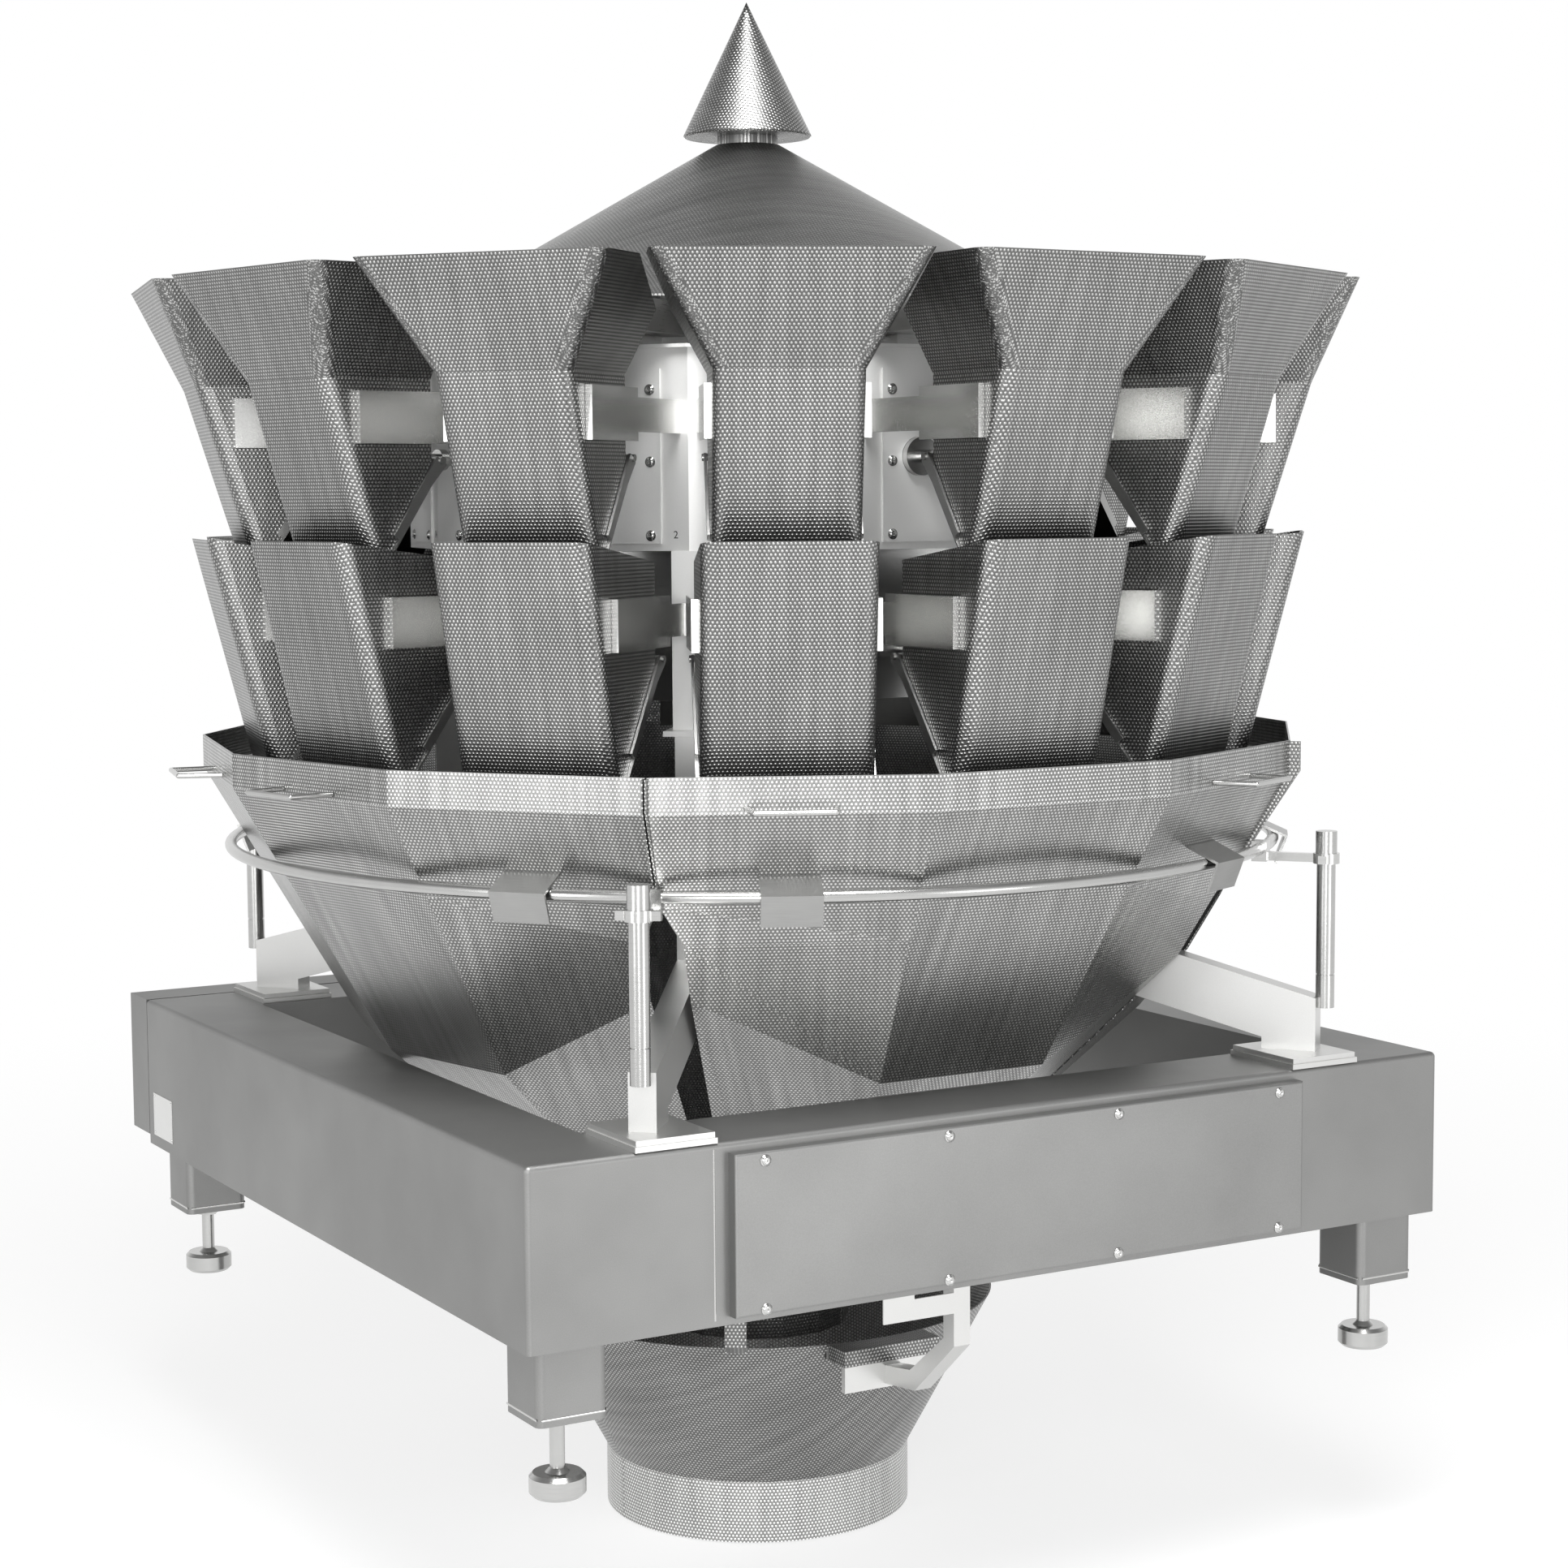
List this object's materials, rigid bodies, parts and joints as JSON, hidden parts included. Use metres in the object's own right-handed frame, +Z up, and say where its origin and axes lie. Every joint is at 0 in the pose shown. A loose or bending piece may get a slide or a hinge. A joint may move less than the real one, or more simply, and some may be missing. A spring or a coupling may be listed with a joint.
{
  "type": "multihead weigher",
  "caption": "Radial multihead weigher: sheet-metal feed and weigh hoppers in a ring over a sectioned collecting chute, on a square base frame with a funnel spout.",
  "frame": {"origin": "centre of the discharge spout's open bottom end, on the machine's vertical axis, which is the lowest point", "axes": "+Z up, -Y towards the side with the screwed front cover, +X to the right seen from that side"},
  "size_m": [1.503, 1.482, 1.881],
  "materials": {
    "dimpled_sheet": "rolled dimple pattern, semi-bright",
    "dimpled_round": "rolled dimple pattern, semi-bright",
    "brushed_sheet": "fine brushed",
    "frame_steel": "bead blasted satin",
    "bright_bar": "polished",
    "housing_steel": "bead blasted satin",
    "hanger_steel": "fine brushed",
    "drum_steel": "satin, turned"
  },
  "bodies": {
    "root": {"arm_plates": "frame_steel", "back_box": "frame_steel", "base_frame": "frame_steel", "body_arms": "frame_steel", "body_posts": "frame_steel", "chute_back": "dimpled_sheet", "chute_front": "dimpled_sheet", "chute_handles": "bright_bar", "chute_hooks": "brushed_sheet", "chute_left": "dimpled_sheet", "chute_right": "dimpled_sheet", "discharge_funnel": "dimpled_round", "dispersion_cone": "dimpled_round", "drive_covers": "housing_steel", "feed_actuators": "bright_bar", "feed_gates": "brushed_sheet", "feed_hangers": "hanger_steel", "feed_hoppers_01_08": "dimpled_sheet", "feed_hoppers_02_09": "dimpled_sheet", "feed_hoppers_03_10": "dimpled_sheet", "feed_hoppers_04_11": "dimpled_sheet", "feed_hoppers_05_12": "dimpled_sheet", "feed_hoppers_06_13": "dimpled_sheet", "feed_hoppers_07_14": "dimpled_sheet", "feeder_pans": "brushed_sheet", "front_cover": "frame_steel", "funnel_brackets": "frame_steel", "legs": "frame_steel", "levelling_feet": "bright_bar", "lower_drum": "drum_steel", "ring_clamps": "bright_bar", "ring_posts": "bright_bar", "support_ring": "bright_bar", "top_cone": "dimpled_round", "upper_housing": "housing_steel", "weigh_gates": "brushed_sheet", "weigh_hangers": "hanger_steel", "weigh_hoppers_01_08": "dimpled_sheet", "weigh_hoppers_02_09": "dimpled_sheet", "weigh_hoppers_03_10": "dimpled_sheet", "weigh_hoppers_04_11": "dimpled_sheet", "weigh_hoppers_05_12": "dimpled_sheet", "weigh_hoppers_06_13": "dimpled_sheet", "weigh_hoppers_07_14": "dimpled_sheet", "weigh_pushers": "bright_bar"}
  },
  "joints": []
}
